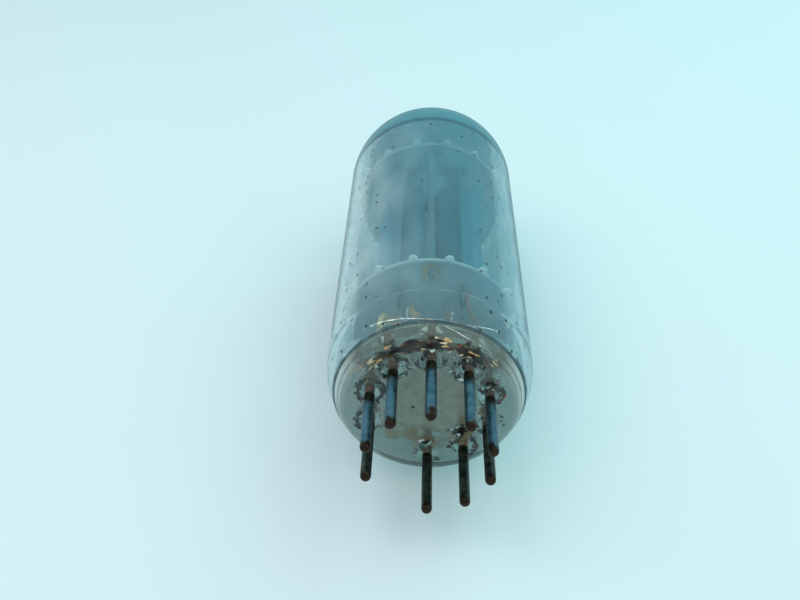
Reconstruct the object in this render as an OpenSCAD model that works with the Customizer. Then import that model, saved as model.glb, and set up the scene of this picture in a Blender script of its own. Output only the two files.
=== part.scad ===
// Twin triode tube: a nine-pin miniature glass vacuum tube that lies on its side.
// Each piece is drawn in the tube's own frame, with the seating plane at z = 0, the pins
// below it and the dome above it, and is then laid down so that the pins point to -Y.
// The side of the tube that faces -y in its own frame comes to lie on top.

/* [Glass] */
// Outside diameter of the bulb
bulb_d = 20.5; // [19:0.1:22.2]
// Seating plane to the top of the dome, without the exhaust tip
dome_top = 52.6; // [49:0.2:56]
// Thickness of the bulb's wall
wall = 0.9; // [0.7:0.05:1.1]
// Diameter of the flat underneath, measured to its sharp corner
flat_d = 16.6; // [15.6:0.1:17.4]
// How far the flat stands back from the seating plane, where the outer beads end
flat_z = 0.6; // [0.4:0.1:1]
// Radius that rounds the flat into the heel
flat_edge = 1.2; // [0.6:0.1:2]
// Height at which the heel reaches the full diameter
heel_top = 6; // [4:0.25:8]
// Height of the seal between the stem and the bulb
seal_z = 2; // [1.6:0.1:2.4]
// Depth of the groove that runs round the seal
groove_d = 0.12; // [0.05:0.01:0.3]
// Width of the groove at the glass's surface
groove_w = 0.4; // [0.2:0.05:0.8]
// Thickness of the stem's glass
stem_t = 2; // [1.9:0.1:3]
// Length of the sealed exhaust tip above the dome
tip_len = 4.4; // [3:0.2:5]
// Diameter of the exhaust tip at its root
tip_d = 3.2; // [2.6:0.1:4]

/* [Pins] */
// Diameter of a pin
pin_d = 1.016; // [0.9:0.002:1.1]
// Diameter of the circle that the pins stand on
pin_circle_d = 11.89; // [11:0.01:12.5]
// Angle between neighbouring pins
pin_step = 36; // [34:1:36]
// Turn of the pins about the tube's axis
pin_turn = 0.84; // [-3:0.01:3]
// Length of a pin below the seating plane
pin_len = 7.2; // [6:0.1:8]
// Diameter of the copper-clad wire that carries on from a pin through the glass
seal_d = 0.7; // [0.5:0.02:0.8]
// Height of the glass bead round each pin inside the bulb
bead_h = 0.9; // [0.5:0.1:1.2]
// Width of the glass round each pin where a bead meets the stem
bead_w = 0.8; // [0.5:0.05:1]
// Length of copper-clad wire that stands clear above its inner bead
seal_end = 0.9; // [0.5:0.1:1.2]

/* [Mica spacers] */
// Thickness of a mica spacer
mica_t = 0.3; // [0.2:0.05:0.5]
// Clearance between a mica point and the bulb
mica_fit = 0.05; // [0.02:0.01:0.1]
// Height of the lower mica's underside above the seating plane
mica_low_z = 12; // [11:0.1:14]
// Distance from the dome's spring line down to the top of the upper mica
mica_below_dome = 5.55; // [4.5:0.05:8]
// Number of points round a mica
mica_points = 16; // [12:2:20]
// How far a point stands out of the mica's round edge
point_h = 0.55; // [0.3:0.05:0.8]
// Radius of a point's rounded nose
point_r = 0.45; // [0.3:0.05:0.6]
// Clearance of each hole and slot in the mica
hole_fit = 0.02; // [0.01:0.01:0.06]

/* [Anodes] */
// Distance of each triode's centre from the tube's axis
triode_x = 3.25; // [3.1:0.05:3.5]
// Width of an anode, across its split plane
anode_w = 5.2; // [4.6:0.1:5.6]
// Depth of an anode, along its split plane
anode_depth = 6.4; // [6:0.1:7]
// Corner radius of an anode
anode_corner = 1.4; // [0.8:0.1:2]
// Thickness of the anode sheet
sheet_t = 0.2; // [0.15:0.01:0.25]
// Distance between the outer edges of an anode's two flanges
flange_span = 11.2; // [10.6:0.1:11.6]
// Gap between an anode's box and each mica, where only the flanges reach the mica
anode_gap = 0.7; // [0.4:0.1:1.2]
// Width of the flange legs that pass through the micas
leg_w = 1.2; // [0.8:0.1:1.5]
// Length of the legs below the lower mica
leg_out = 1.4; // [1.2:0.1:1.8]
// Length of the part of a leg that is folded down on the upper mica
fold_len = 1; // [0.6:0.1:1.2]

/* [Cathodes, heaters and grids] */
// Outside diameter of a cathode sleeve
cathode_d = 1.3; // [1.25:0.05:1.5]
// Wall of a cathode sleeve
cathode_t = 0.1; // [0.06:0.01:0.1]
// Length of sleeve that stands out of each mica
cathode_out = 1.1; // [1:0.1:1.3]
// Radius of the two beads that hold a sleeve between the micas
cathode_bead = 0.18; // [0.12:0.02:0.25]
// Diameter of the coated heater wire
heater_d = 0.22; // [0.18:0.01:0.23]
// Distance between neighbouring legs of a folded heater
heater_pitch = 0.27; // [0.24:0.01:0.275]
// Diameter of a grid side rod
grid_rod_d = 0.75; // [0.6:0.05:0.8]
// Distance between a grid's two side rods
grid_span = 3.9; // [3.6:0.1:4.1]
// Length of rod that stands out of each mica
grid_out = 1.6; // [1.4:0.1:1.8]
// Width of the grid winding across the rods
grid_w = 2; // [1.8:0.1:2.4]
// Diameter of the winding wire
winding_d = 0.14; // [0.1:0.01:0.16]
// Turns of the winding
winding_turns = 14; // [8:1:20]
// Distance from each mica to the winding's first and last turns
winding_margin = 1.4; // [1:0.1:3]

/* [Getter and leads] */
// Diameter of the getter post
post_d = 0.7; // [0.5:0.05:0.8]
// Distance of the post's centre from the mica's round edge
post_inset = 1.35; // [1.2:0.05:1.5]
// Height of the getter ring above the upper mica
getter_h = 4.4; // [3:0.1:5]
// Mean diameter of the getter ring
getter_d = 5.8; // [5:0.1:7]
// Width and height of the getter ring's open channel
getter_w = 1; // [0.8:0.1:1.4]
// Diameter of an inner lead
lead_d = 0.6; // [0.4:0.05:0.65]
// Clearance between wires that are welded side by side
weld_fit = 0.02; // [0.01:0.01:0.05]

/* [Hidden] */
$fn = 64;
TUBE_PINS = [1:9];
SIDES = ["left", "right"];

bulb_r = bulb_d / 2;
pin_r = pin_d / 2;
seal_r = seal_d / 2;
dome_z = dome_top - bulb_r;
overlap = 0.05;
// Two arcs that blend are made to cross by this little, which leaves no sliver between them.
crossing = 0.005;

// The heel is one arc, tangent to the bulb's wall, that ends at the flat's corner.
heel_out = bulb_r - flat_d / 2;
heel_r = (pow(heel_out, 2) + pow(heel_top - flat_z, 2)) / (2 * heel_out);
heel_x = bulb_r - heel_r;
edge_x = heel_x + sqrt(pow(heel_r - flat_edge, 2) - pow(heel_top - flat_z - flat_edge, 2));
stem_top = flat_z + stem_t;
function wall_r(z, inset) = heel_x + sqrt(pow(heel_r - inset, 2) - pow(heel_top - z, 2));

// The exhaust tip grows out of the dome in a fillet and ends in a round nose.
tip_r = tip_d / 2;
tip_nose = 0.9;
tip_fillet = 1.2;
tip_reach = bulb_r + tip_fillet - crossing;
tip_neck_z = dome_z + sqrt(pow(tip_reach, 2) - pow(tip_r + tip_fillet, 2));
tip_top = dome_top + tip_len;
funnel_r = [0.7, 0.2];
funnel_end = 1.4;

// Bead and pin heights inside the bulb
bead_neck = 0.2;
pin_top = stem_top + bead_h + seal_end;

// Mica levels
mica_r = bulb_r - wall - mica_fit - point_h;
low_face = mica_low_z + mica_t;
high_top = dome_z - mica_below_dome;
high_face = high_top - mica_t;

// Where the electrodes stand
leg_y = (flange_span - leg_w) / 2;
grid_y = grid_span / 2;
cathode_r = cathode_d / 2;
cathode_bore = cathode_r - cathode_t;
post_y = mica_r - post_inset;
eyelet_bore = post_d / 2 + hole_fit;
eyelet_t = 0.18;
eyelet_rim = 0.4;

// A wire welded to the side of another runs beside it, this far from its centre.
function beside(r) = r + weld_fit + lead_d / 2;
// Angle at which a lead comes up beside a rod or a sleeve
weld_angle = 20;
function side_weld(r) = [-beside(r) * cos(weld_angle), -beside(r) * sin(weld_angle)];

function pin_angle(i) = pin_step * (i - 4) + pin_turn;
function pin_at(i, z) = [
    pin_circle_d / 2 * sin(pin_angle(i)),
    -pin_circle_d / 2 * cos(pin_angle(i)),
    z
];
function turned(path) = [for (p = path) [-p[0], -p[1], p[2]]];

// Ends of the three heater leads, and the level at which the heater wire leaves its sleeve
heater_weld = [[-1.9, -4.4, mica_low_z - 1.4], [1.8, -4.4, mica_low_z - 2]];
centre_weld = [0, 2.6, mica_low_z - 2.4];
heater_z = mica_low_z - cathode_out - 0.6;
heater_top = high_face - 1.5;
heater_leg = 1.5 * heater_pitch;
tail_gap = (lead_d + heater_d) / 2 + weld_fit;
lead_bend = 0.8;

// Leads of the left triode: anode, control grid and cathode
anode_weld_x = -triode_x - sheet_t - beside(0);
grid_weld = side_weld(grid_rod_d / 2);
cathode_weld = side_weld(cathode_r);
anode_lead = [
    pin_at(1, pin_top),
    pin_at(1, pin_top + 4),
    [anode_weld_x, leg_y - 0.2, mica_low_z - 1.4],
    [anode_weld_x, leg_y, mica_low_z - 0.3]
];
grid_lead = [
    pin_at(2, pin_top),
    pin_at(2, pin_top + 0.8),
    [-triode_x - 1.65, -grid_y - 2.35, mica_low_z - 2.4],
    [grid_weld[0] - triode_x, grid_weld[1] - grid_y, mica_low_z - 1],
    [grid_weld[0] - triode_x, grid_weld[1] - grid_y, mica_low_z - 0.3]
];
cathode_lead = [
    pin_at(3, pin_top),
    pin_at(3, pin_top + 2.6),
    [cathode_weld[0] - triode_x, cathode_weld[1] - 0.3, mica_low_z - 1.4],
    [cathode_weld[0] - triode_x, cathode_weld[1], mica_low_z - 0.4]
];
heater_lead_left = [
    pin_at(4, pin_top),
    pin_at(4, pin_top + 1.6),
    heater_weld[0] - [0, 0.2, 1],
    heater_weld[0]
];
heater_lead_right = [
    pin_at(5, pin_top),
    pin_at(5, pin_top + 2.4),
    heater_weld[1] - [0, 0.2, 1],
    heater_weld[1]
];
heater_lead_centre = [
    pin_at(9, pin_top),
    pin_at(9, pin_top + 1.8),
    centre_weld + [0, 0.4, -1],
    centre_weld
];
LEAD_PATHS = [
    anode_lead,
    grid_lead,
    cathode_lead,
    heater_lead_left,
    heater_lead_right,
    turned(anode_lead),
    turned(grid_lead),
    turned(cathode_lead),
    heater_lead_centre
];

function unit(v) = v / norm(v);
function arc(centre, r, from, to, steps) = [
    for (k = [0 : steps])
        let (a = from + (to - from) * k / steps)
            centre + r * [cos(a), sin(a)]
];

// A path with each inner corner replaced by a short curve that starts and ends r away
bend_steps = 4;
function bend(a, p, b, r) =
    let (cut = min(r, 0.45 * norm(a - p), 0.45 * norm(b - p)))
    let (from = p + unit(a - p) * cut, to = p + unit(b - p) * cut)
        [for (k = [0 : bend_steps])
            let (t = k / bend_steps)
                pow(1 - t, 2) * from + 2 * t * (1 - t) * p + pow(t, 2) * to];
function bent(path, r) = concat(
    [path[0]],
    [for (k = [1 : len(path) - 2]) each bend(path[k - 1], path[k], path[k + 1], r)],
    [path[len(path) - 1]]
);

// Direction of a path at each of its points, and a side direction carried along it untwisted
function headings(path) =
    let (end = len(path) - 1)
        [for (k = [0 : end]) unit(path[min(k + 1, end)] - path[max(k - 1, 0)])];
function carried(heading, side, k = 0) =
    k == len(heading) ? [] :
    let (next = unit(side - (side * heading[k]) * heading[k]))
        concat([next], carried(heading, next, k + 1));

// Colours
GLASS = [0.72, 0.84, 0.83, 0.35];
PIN_METAL = [0.25, 0.22, 0.19];
COPPER = [0.78, 0.52, 0.36];
MICA = [0.72, 0.72, 0.68, 0.6];
CARBON = [0.16, 0.2, 0.23];
NICKEL = [0.66, 0.64, 0.6];
CHALK = [0.9, 0.9, 0.86];
BRASS = [0.78, 0.6, 0.3];

// Lays the tube on its side with its middle over the origin.
module laid() {
    translate([0, (pin_len - tip_top) / 2, bulb_r])
        rotate([-90, 0, 0])
            children();
}

// Right half of the tube's outer outline up to the dome, moved inwards by inset.
module envelope(inset) {
    intersection() {
        translate([heel_x, heel_top])
            circle(r = heel_r - inset, $fn = 128);
        translate([0, flat_z])
            square([bulb_r, heel_top - flat_z]);
    }
    translate([0, flat_z])
        square([max(heel_x, overlap), heel_top - flat_z]);
    translate([0, heel_top - overlap])
        square([bulb_r - inset, dome_z - heel_top + 2 * overlap]);
    intersection() {
        translate([0, dome_z])
            circle(r = bulb_r - inset, $fn = 128);
        translate([0, dome_z])
            square(bulb_r);
    }
}

// What the rounded edge of the flat leaves out of the outline's sharp corner.
module flat_corner() {
    centre = [edge_x, flat_z + flat_edge];
    away = [edge_x - heel_x, flat_z + flat_edge - heel_top] / (heel_r - flat_edge);
    difference() {
        polygon([
            centre,
            [edge_x, flat_z - flat_edge],
            [bulb_r, flat_z - flat_edge],
            centre + away * 2.5 * flat_edge
        ]);
        translate(centre)
            circle(r = flat_edge + crossing);
    }
}

// Section of the exhaust tip: a hollow curve up from the dome, a taper and a round nose.
module tip_outline() {
    centre = [tip_r + tip_fillet, tip_neck_z];
    start = 180 + atan((tip_neck_z - dome_z) / (tip_r + tip_fillet));
    polygon(concat(
        [[0, dome_z], [tip_r, dome_z]],
        arc(centre, tip_fillet, start, 180, 8),
        arc([0, tip_top - tip_nose], tip_nose, 10, 90, 6)
    ));
}

// Section of the groove that the sealing fires leave between the stem and the bulb.
module seal_groove() {
    seal_x = wall_r(seal_z, 0);
    translate([seal_x, seal_z])
        rotate(atan2(seal_z - heel_top, seal_x - heel_x))
            polygon([[-groove_d, 0], [groove_d, -groove_w], [groove_d, groove_w]]);
}

module bulb() {
    color(GLASS)
        rotate_extrude($fn = 128)
            difference() {
                union() {
                    envelope(0);
                    tip_outline();
                }
                envelope(wall);
                seal_groove();
                square([bulb_r, seal_z]);
                polygon([
                    [0, dome_top - wall - overlap],
                    [funnel_r[0], dome_top - wall - overlap],
                    [funnel_r[1], tip_top - funnel_end],
                    [0, tip_top - funnel_end]
                ]);
            }
}

module stem() {
    bead_r = pin_r + bead_w;
    color(GLASS)
        difference() {
            union() {
                rotate_extrude($fn = 128) {
                    difference() {
                        intersection() {
                            envelope(0);
                            square([bulb_r, seal_z]);
                        }
                        flat_corner();
                        seal_groove();
                    }
                    translate([0, seal_z - overlap])
                        square([wall_r(seal_z, wall), stem_top - seal_z + overlap]);
                }
                for (i = TUBE_PINS) {
                    translate(pin_at(i, 0))
                        cylinder(h = flat_z + overlap, r1 = pin_r + bead_neck, r2 = bead_r);
                    translate(pin_at(i, stem_top - overlap))
                        cylinder(h = bead_h + overlap, r1 = bead_r, r2 = seal_r + bead_neck);
                }
            }
            for (i = TUBE_PINS)
                translate(pin_at(i, -1))
                    cylinder(h = pin_top + 1, r = seal_r);
        }
}

// A pin: hard wire with a round nose, welded end to end to the thinner wire in the glass.
module pin(i) {
    color(PIN_METAL)
        translate(pin_at(i, 0))
            rotate_extrude() {
                translate([0, pin_r - pin_len])
                    square([pin_r, pin_len - pin_r]);
                translate([0, -overlap])
                    square([seal_r, pin_top + overlap]);
                intersection() {
                    translate([0, pin_r - pin_len])
                        circle(r = pin_r);
                    translate([0, -pin_len])
                        square(pin_r);
                }
            }
}

// A round wire along a path, with square ends.
module wire(path, d, sides) {
    heading = headings(path);
    side = carried(heading, abs(heading[0][0]) < 0.9 ? [1, 0, 0] : [0, 1, 0]);
    end = len(path) - 1;
    points = [
        for (k = [0 : end], s = [0 : sides - 1])
            let (a = s * 360 / sides)
                path[k] + d / 2 * (cos(a) * side[k] + sin(a) * cross(heading[k], side[k]))
    ];
    walls = [
        for (k = [0 : end - 1], s = [0 : sides - 1])
            let (a = k * sides + s, b = k * sides + (s + 1) % sides)
                each [[a, a + sides, b], [b, a + sides, b + sides]]
    ];
    first = [for (s = [0 : sides - 1]) s];
    last = [for (s = [sides - 1 : -1 : 0]) end * sides + s];
    polyhedron(points, concat(walls, [first, last]), convexity = 10);
}

module lead(i) {
    color(COPPER)
        wire(bent(LEAD_PATHS[i - 1], lead_bend), lead_d, 10);
}

// Holes for one triode: slots for the anode's legs, and holes for the rods and the sleeve.
module triode_holes() {
    for (y = [-leg_y, leg_y])
        translate([0, y])
            square([2 * (sheet_t + hole_fit), leg_w + 2 * hole_fit], center = true);
    for (y = [-grid_y, grid_y])
        translate([0, y])
            circle(r = grid_rod_d / 2 + hole_fit);
    circle(r = cathode_r + hole_fit);
}

module mica() {
    color(MICA)
        linear_extrude(mica_t)
            difference() {
                union() {
                    circle(r = mica_r, $fn = 128);
                    for (k = [0 : mica_points - 1])
                        rotate((k + 0.5) * 360 / mica_points)
                            translate([0, mica_r + point_h - point_r])
                                circle(r = point_r, $fn = 24);
                }
                for (x = [-triode_x, triode_x])
                    translate([x, 0])
                        triode_holes();
                translate([0, -post_y])
                    circle(r = eyelet_bore + eyelet_t + hole_fit);
            }
}

module mica_lower() {
    translate([0, 0, mica_low_z])
        mica();
}

module mica_upper() {
    translate([0, 0, high_face])
        mica();
}

// A tubular rivet: a barrel through the mica with a rim rolled over on each face.
module eyelet() {
    color(BRASS)
        rotate_extrude($fn = 32) {
            translate([eyelet_bore, -eyelet_t])
                square([eyelet_t, mica_t + 2 * eyelet_t]);
            for (z = [-eyelet_t, mica_t])
                translate([eyelet_bore, z])
                    square([eyelet_t + eyelet_rim, eyelet_t]);
        }
}

module eyelet_lower() {
    translate([0, -post_y, mica_low_z])
        eyelet();
}

module eyelet_upper() {
    translate([0, -post_y, high_face])
        eyelet();
}

// The post stands in the eyelets and bends over to reach under the getter ring.
module getter_post() {
    reach_z = high_top + getter_h - post_d / 2 - weld_fit;
    path = [
        [0, -post_y, mica_low_z - 1],
        [0, -post_y, high_top + 1.6],
        [0, -getter_d / 2 - 1.2, reach_z],
        [0, -getter_d / 2 + 0.5, reach_z]
    ];
    color(NICKEL)
        wire(bent(path, lead_bend), post_d, 16);
}

// A ring of open channel that faces the dome.
module getter_ring() {
    channel_t = 0.2;
    color(NICKEL)
        translate([0, 0, high_top + getter_h])
            rotate_extrude()
                translate([(getter_d - getter_w) / 2, 0])
                    difference() {
                        square(getter_w);
                        translate([channel_t, channel_t])
                            square([getter_w - 2 * channel_t, getter_w]);
                    }
}

// Section of one pressed half shell, which lies on the +x side of the split plane.
module shell_section() {
    intersection() {
        difference() {
            rounded(anode_w, anode_depth, anode_corner);
            rounded(anode_w - 2 * sheet_t, anode_depth - 2 * sheet_t, anode_corner - sheet_t);
        }
        translate([0, -anode_depth / 2])
            square([anode_w, anode_depth]);
    }
}

module rounded(w, h, r) {
    square([w - 2 * r, h], center = true);
    square([w, h - 2 * r], center = true);
    for (x = [r - w / 2, w / 2 - r], y = [r - h / 2, h / 2 - r])
        translate([x, y])
            circle(r = r);
}

// The half shell stands on the lower mica by its flanges. A leg of each flange passes
// through both micas and is folded down on the upper one.
module anode_half() {
    box_low = low_face + anode_gap;
    flange_w = (flange_span - anode_depth) / 2 + sheet_t;
    color(CARBON) {
        translate([0, 0, box_low])
            linear_extrude(high_face - anode_gap - box_low)
                shell_section();
        for (side = [0, 1])
            mirror([0, side, 0]) {
                translate([0, anode_depth / 2 - sheet_t, low_face])
                    cube([sheet_t, flange_w, high_face - low_face]);
                translate([0, leg_y - leg_w / 2, mica_low_z - leg_out])
                    cube([sheet_t, leg_w, high_top + sheet_t - mica_low_z + leg_out]);
                translate([0, leg_y - leg_w / 2, high_top])
                    cube([fold_len, leg_w, sheet_t]);
            }
    }
}

module anode_inner(side) {
    translate([side * triode_x, 0, 0])
        mirror([side > 0 ? 1 : 0, 0, 0])
            anode_half();
}

module anode_outer(side) {
    translate([side * triode_x, 0, 0])
        mirror([side > 0 ? 0 : 1, 0, 0])
            anode_half();
}

// A nickel sleeve with a rolled bead against the inner face of each mica.
module cathode(side) {
    low = mica_low_z - cathode_out;
    color(CHALK)
        translate([side * triode_x, 0, 0])
            rotate_extrude($fn = 32)
                difference() {
                    union() {
                        translate([0, low])
                            square([cathode_r, high_top + cathode_out - low]);
                        for (z = [low_face + cathode_bead, high_face - cathode_bead])
                            translate([cathode_r, z])
                                circle(r = cathode_bead, $fn = 16);
                    }
                    translate([0, low - 1])
                        square([cathode_bore, high_top + cathode_out - low + 2]);
                }
}

// Half a turn of wire between two neighbouring heater legs
function half_turn(x, z, up, side) = [
    for (a = [0 : 30 : 180])
        [x - side * heater_pitch / 2 * cos(a), 0, z + up * heater_pitch / 2 * sin(a)]
];

// The heater wire is folded into four legs. Its two ends run on to their leads.
module heater(side) {
    centre = [side * triode_x, 0, 0];
    inner = centre + [-side * heater_leg, 0, heater_z];
    outer = centre + [side * heater_leg, 0, heater_z];
    front = heater_weld[side < 0 ? 0 : 1] + [side * tail_gap, 0, 0];
    back = centre_weld + [side * tail_gap, 0, 0];
    fold = [0, 0, 0.7];
    drop = [0, 0, 0.4];
    path = concat(
        bent([front, front - fold, inner - drop, inner + drop], lead_bend),
        half_turn(side * (triode_x - heater_pitch), heater_top, 1, side),
        half_turn(side * triode_x, low_face, -1, side),
        half_turn(side * (triode_x + heater_pitch), heater_top, 1, side),
        bent([outer + drop, outer - drop, back - fold, back], lead_bend)
    );
    color(CHALK)
        wire(path, heater_d, 8);
}

// The winding: one wire wound in an oval helix round both side rods.
module grid_winding(side) {
    steps = 12;
    out = 1 / cos(180 / steps);
    half_x = grid_w / 2;
    half_y = grid_y + (grid_rod_d + winding_d) / 2 + weld_fit;
    low = low_face + winding_margin;
    rise = (high_face - low - winding_margin) / (winding_turns * steps);
    helix = [
        for (k = [0 : winding_turns * steps])
            let (a = k * 360 / steps)
                [out * half_x * cos(a), out * half_y * sin(a), low + k * rise]
    ];
    color(NICKEL)
        translate([side * triode_x, 0, 0])
            wire(helix, winding_d, 5);
}

// A side rod of a control grid. Its place is -1 at the tube's front and 1 at its back.
module grid_rod(side, place) {
    low = mica_low_z - grid_out;
    color(COPPER)
        translate([side * triode_x, place * grid_y, low])
            cylinder(h = high_top + grid_out - low, d = grid_rod_d);
}

laid() bulb();
laid() stem();
laid() mica_lower();
laid() mica_upper();
laid() eyelet_lower();
laid() eyelet_upper();
laid() getter_post();
laid() getter_ring();
for (i = TUBE_PINS) {
    laid() pin(i);
    laid() lead(i);
}
for (k = [0, 1]) {
    side = 2 * k - 1;
    name = SIDES[k];
    laid() anode_inner(side);
    laid() anode_outer(side);
    laid() cathode(side);
    laid() heater(side);
    laid() grid_winding(side);
    laid() grid_rod(side, -1);
    laid() grid_rod(side, 1);
}
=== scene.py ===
import math

import bpy
from mathutils import Matrix, Vector, noise


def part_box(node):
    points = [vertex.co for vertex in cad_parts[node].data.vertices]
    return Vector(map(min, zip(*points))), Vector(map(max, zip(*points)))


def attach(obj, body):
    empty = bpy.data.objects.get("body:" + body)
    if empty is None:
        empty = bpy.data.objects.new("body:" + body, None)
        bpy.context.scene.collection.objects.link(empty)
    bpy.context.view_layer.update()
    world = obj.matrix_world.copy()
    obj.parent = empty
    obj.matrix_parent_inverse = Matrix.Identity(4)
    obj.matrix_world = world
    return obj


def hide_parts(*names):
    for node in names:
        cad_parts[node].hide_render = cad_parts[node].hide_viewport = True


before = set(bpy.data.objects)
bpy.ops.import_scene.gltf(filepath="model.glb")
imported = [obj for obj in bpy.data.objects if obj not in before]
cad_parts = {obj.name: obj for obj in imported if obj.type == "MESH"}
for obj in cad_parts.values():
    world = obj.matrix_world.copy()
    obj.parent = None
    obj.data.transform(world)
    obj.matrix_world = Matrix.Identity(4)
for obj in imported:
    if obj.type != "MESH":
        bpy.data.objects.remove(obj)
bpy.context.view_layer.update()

# Sizes are in millimetres. The tube lies along Y: its pins point to -Y and its dome to +Y. A height is a
# distance from the pins' seat towards the dome.
MM = 0.001
BULB_LOW, BULB_HIGH = (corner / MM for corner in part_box("bulb"))
BULB_R = (BULB_HIGH.x - BULB_LOW.x) / 2
AXIS_Z = (BULB_HIGH.z + BULB_LOW.z) / 2
SEAT_Y = (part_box("stem")[0] / MM).y

# Bulb, dome and exhaust tip. The hollow of the tip is a funnel that ends some way below the tip's top.
WALL = 0.9
TIP_TOP = BULB_HIGH.y - SEAT_Y
TIP_LEN = 4.4
TIP_R = 1.6
TIP_FILLET = 1.2
TIP_NOSE = 0.9
FUNNEL_R = 0.7
FUNNEL_END_R = 0.2
FUNNEL_END = 1.4
DOME_START = TIP_TOP - TIP_LEN - BULB_R

# Heel, groove of the seal, and pressed stem
HEEL_TOP = 6
FLAT_Z = 0.6
FLAT_R = 8.3
FLAT_EDGE = 1.2
SEAL_Z = BULB_LOW.y - SEAT_Y
GROOVE_D = 0.12
GROOVE_W = 0.4
STEM_TOP = 2.6
STEM_CORNER = 0.6

# Pins, and the wires and beads in the stem
TUBE_PINS = range(1, 10)
PIN_R = 0.508
SEAL_R = 0.35
BEAD_R = PIN_R + 0.8
BEAD_H = 0.9

# Inner parts
SIDES = ("left", "right")
MICA_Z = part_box("mica_lower")[0].y / MM - SEAT_Y
MICA_R = 8.75
FLANGE_START = 3.2
FLANGE_END = 5.6

# Height at which the fog inside the bulb ends
FOG_Z = 6.3

# Faces round the glass
AROUND = 192


def place(radius, height):
    """A point straight above the tube's axis, in metres."""
    return Vector((0, SEAT_Y + height, AXIS_Z + radius)) * MM


def pin_centre(number):
    """Middle of a pin's section, measured from the tube's axis: across and up."""
    low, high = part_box(f"pin_{number}")
    middle = (low + high) / 2 / MM
    return middle.x, middle.z - AXIS_Z


# Colour and shader helpers

# A Mix node that mixes colours has its share and its two colours at these places.
FACTOR, A, B = 0, 6, 7
COLOUR_MIX = {"data_type": "RGBA", "out": 2}


def rgb(code):
    """Linear colour of an sRGB hex value."""
    parts = [int(code[i:i + 2], 16) / 255 for i in (1, 3, 5)]
    return (*[p / 12.92 if p <= 0.04045 else ((p + 0.055) / 1.055) ** 2.4 for p in parts], 1)


def add(owner, kind, sockets=(), out=0, **settings):
    """Adds a shader node and gives back one of its outputs. Its sockets take values or outputs of other
    nodes, by name, or in order from a list. MapRange takes a value, its range and the new range."""
    node = owner.node_tree.nodes.new("ShaderNode" + kind)
    for name, value in settings.items():
        setattr(node, name, value)
    for socket, value in sockets.items() if isinstance(sockets, dict) else enumerate(sockets):
        if isinstance(value, bpy.types.NodeSocket):
            owner.node_tree.links.new(value, node.inputs[socket])
        else:
            node.inputs[socket].default_value = value
    return node.outputs[out] if node.outputs else node


def start_material(name):
    """A material, and each point's place on the tube in millimetres: across, height, up from the axis."""
    material = bpy.data.materials.new(name)
    material.use_nodes = True
    material.node_tree.nodes.clear()
    metres = add(material, "TexCoord", out="Object")
    to_tube = [metres, (1 / MM, 1 / MM, 1 / MM), (0, -SEAT_Y, -AXIS_Z)]
    return material, add(material, "VectorMath", to_tube, operation="MULTIPLY_ADD")


def radius_of(material, where):
    """Distance from the tube's axis."""
    flat = add(material, "VectorMath", [where, (1, 0, 1)], operation="MULTIPLY")
    return add(material, "VectorMath", [flat], out="Value", operation="LENGTH")


def patches(material, where, size, low=0.0, high=1.0, detail=3.0):
    """Cloudy patches about size millimetres wide, whose value runs from low to high."""
    cloud = add(material, "TexNoise", {"Vector": where, "Scale": 1 / size, "Detail": detail})
    return add(material, "MapRange", [cloud, 0.35, 0.67, low, high])


def band(material, value, low, high, soft):
    """1 where a value lies between low and high, with soft ends."""
    rise = add(material, "MapRange", [value, low - soft, low + soft])
    fall = add(material, "MapRange", [value, high - soft, high + soft, 1.0, 0.0])
    return add(material, "Math", [rise, fall], operation="MULTIPLY")


def specks(material, where, spacing, size):
    """1 on small round specks on the bulb's wall, and 0 between them. Most squares of spacing millimetres
    hold one at the bulb's sides, and few do on top."""
    across = add(material, "SeparateXYZ", [where], out="X")
    height = add(material, "SeparateXYZ", [where], out="Y")
    up = add(material, "SeparateXYZ", [where], out="Z")
    turn = add(material, "Math", [across, up], operation="ARCTAN2")
    round_wall = add(material, "Math", [turn, BULB_R], operation="MULTIPLY")
    on_wall = add(material, "CombineXYZ", [round_wall, height, 0.0])
    cells = {"Vector": on_wall, "Scale": 1 / spacing}
    distance = add(material, "TexVoronoi", cells, out="Distance", voronoi_dimensions="2D")
    colour = add(material, "TexVoronoi", cells, out="Color", voronoi_dimensions="2D")
    chosen = add(material, "SeparateColor", [colour], out="Red")
    reach = add(material, "MapRange", [chosen, 0.0, 1.0, 0.4 * size / spacing, size / spacing])
    small = add(material, "Math", [distance, reach], operation="LESS_THAN")
    kept = add(material, "SeparateColor", [colour], out="Green")
    off_top = add(material, "Math", [turn], operation="ABSOLUTE")
    wanted = add(material, "MapRange", [off_top, 0.35, 0.75, 0.06, 0.9])
    picked = add(material, "Math", [kept, wanted], operation="LESS_THAN")
    return add(material, "Math", [small, picked], operation="MULTIPLY")


def paint_flat(shades, stops):
    """Gives a colour ramp flat colours. Each runs from its own share of the range up to the next one's."""
    ramp = shades.node.color_ramp
    ramp.interpolation = "CONSTANT"
    for element, (share, code) in zip(ramp.elements, stops):
        element.position = share
        element.color = rgb(code)
    for share, code in stops[len(ramp.elements):]:
        ramp.elements.new(share).color = rgb(code)


def let_lamps_through(material, surface, tint):
    """Soft light reaches what is inside the glass: rays to a lamp and diffuse rays go straight through."""
    shadow = add(material, "LightPath", out="Is Shadow Ray")
    diffuse = add(material, "LightPath", out="Is Diffuse Ray")
    either = add(material, "Math", [shadow, diffuse], operation="MAXIMUM")
    clear = add(material, "BsdfTransparent", [tint])
    return add(material, "MixShader", [either, surface, clear])


# Glass of the bulb, outside

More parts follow.
